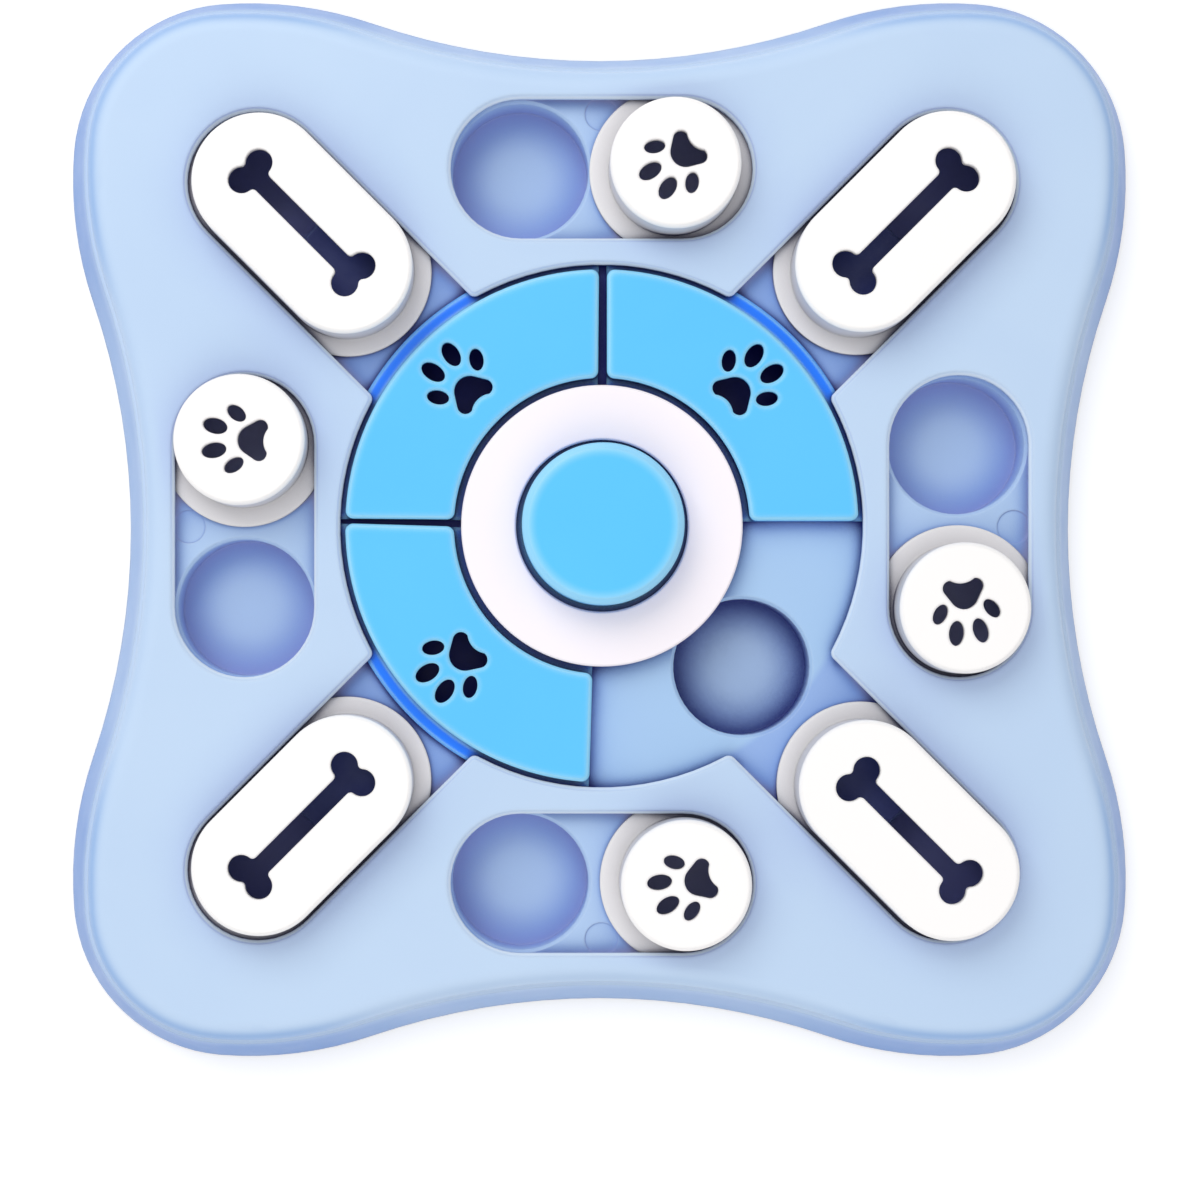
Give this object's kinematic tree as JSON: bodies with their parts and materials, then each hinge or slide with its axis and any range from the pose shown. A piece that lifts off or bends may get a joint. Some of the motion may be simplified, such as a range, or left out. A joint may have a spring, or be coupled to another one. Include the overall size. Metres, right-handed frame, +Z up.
{
  "type": "dog puzzle feeder",
  "caption": "Sliding treat puzzle for dogs: a lobed square base with covered wells, bone, paw and ring sliders that uncover them, and a squeaker button.",
  "frame": {"origin": "on the floor, under the hub's axis, between the four feet", "axes": "+Z up through the button; +Y towards the top paw slot, +X towards the right paw slot; front is -Y"},
  "size_m": [0.2798, 0.2798, 0.0335],
  "materials": {
    "base_plastic": "satin",
    "cap_plastic": "satin",
    "ring_plastic": "satin",
    "soft_rubber": "matt",
    "screw_steel": "plated"
  },
  "bodies": {
    "base": {"top_frame": "base_plastic", "base_tray": "base_plastic", "hub_cover": "cap_plastic", "squeaker_bellows": "soft_rubber", "squeaker_reed": "cap_plastic", "foot_front_left": "soft_rubber", "foot_front_right": "soft_rubber", "foot_rear_left": "soft_rubber", "foot_rear_right": "soft_rubber", "case_screws": "screw_steel", "hub_screws": "screw_steel"},
    "button": {"button": "ring_plastic"},
    "bone_slider_top_left": {"bone_slider_top_left": "cap_plastic"},
    "bone_slider_top_right": {"bone_slider_top_right": "cap_plastic"},
    "bone_slider_bottom_left": {"bone_slider_bottom_left": "cap_plastic"},
    "bone_slider_bottom_right": {"bone_slider_bottom_right": "cap_plastic"},
    "paw_slider_top": {"paw_slider_top": "cap_plastic"},
    "paw_slider_left": {"paw_slider_left": "cap_plastic"},
    "paw_slider_right": {"paw_slider_right": "cap_plastic"},
    "paw_slider_bottom": {"paw_slider_bottom": "cap_plastic"},
    "ring_slider_top_right": {"ring_slider_top_right": "ring_plastic"},
    "ring_slider_top_left": {"ring_slider_top_left": "ring_plastic"},
    "ring_slider_bottom_left": {"ring_slider_bottom_left": "ring_plastic"}
  },
  "joints": [
    {"name": "button_press", "type": "slide", "parent": "base", "child": "button", "axis": [0, 0, -1], "range_m": [0, 0.004], "stiffness_N_per_m": 400, "springref_m": -0.002, "deforming": ["squeaker_bellows"]},
    {"name": "bone_slide_top_left", "type": "slide", "parent": "base", "child": "bone_slider_top_left", "axis": [0.7071, -0.7071, 0], "range_m": [-0.0025, 0.0009]},
    {"name": "bone_slide_top_right", "type": "slide", "parent": "base", "child": "bone_slider_top_right", "axis": [-0.7071, -0.7071, 0], "range_m": [-0.0019, 0.0015]},
    {"name": "bone_slide_bottom_left", "type": "slide", "parent": "base", "child": "bone_slider_bottom_left", "axis": [0.7071, 0.7071, 0], "range_m": [-0.0024, 0.001]},
    {"name": "bone_slide_bottom_right", "type": "slide", "parent": "base", "child": "bone_slider_bottom_right", "axis": [-0.7071, 0.7071, 0], "range_m": [-0.0006, 0.04]},
    {"name": "paw_slide_top", "type": "slide", "parent": "base", "child": "paw_slider_top", "axis": [-1, 0, 0], "range_m": [-0.0032, 0.0402]},
    {"name": "paw_slide_left", "type": "slide", "parent": "base", "child": "paw_slider_left", "axis": [0, -1, 0], "range_m": [-0.0002, 0.0432]},
    {"name": "paw_slide_right", "type": "slide", "parent": "base", "child": "paw_slider_right", "axis": [0, 1, 0], "range_m": [-0.0004, 0.043]},
    {"name": "paw_slide_bottom", "type": "slide", "parent": "base", "child": "paw_slider_bottom", "axis": [-1, 0, 0], "range_m": [-0.0005, 0.0429]},
    {"name": "ring_turn_top_right", "type": "hinge", "parent": "base", "child": "ring_slider_top_right", "pos_m": [0, 0, 0.0167], "axis": [0, 0, 1], "range_deg": [-90, 360]},
    {"name": "ring_turn_top_left", "type": "hinge", "parent": "base", "child": "ring_slider_top_left", "pos_m": [0, 0, 0.0167], "axis": [0, 0, 1], "range_deg": [-90, 360]},
    {"name": "ring_turn_bottom_left", "type": "hinge", "parent": "base", "child": "ring_slider_bottom_left", "pos_m": [0, 0, 0.0167], "axis": [0, 0, 1], "range_deg": [-90, 360]}
  ],
  "couplings": [
    {"joint": "ring_turn_top_left", "follows": "ring_turn_top_right", "ratio": 1},
    {"joint": "ring_turn_bottom_left", "follows": "ring_turn_top_right", "ratio": 1}
  ]
}
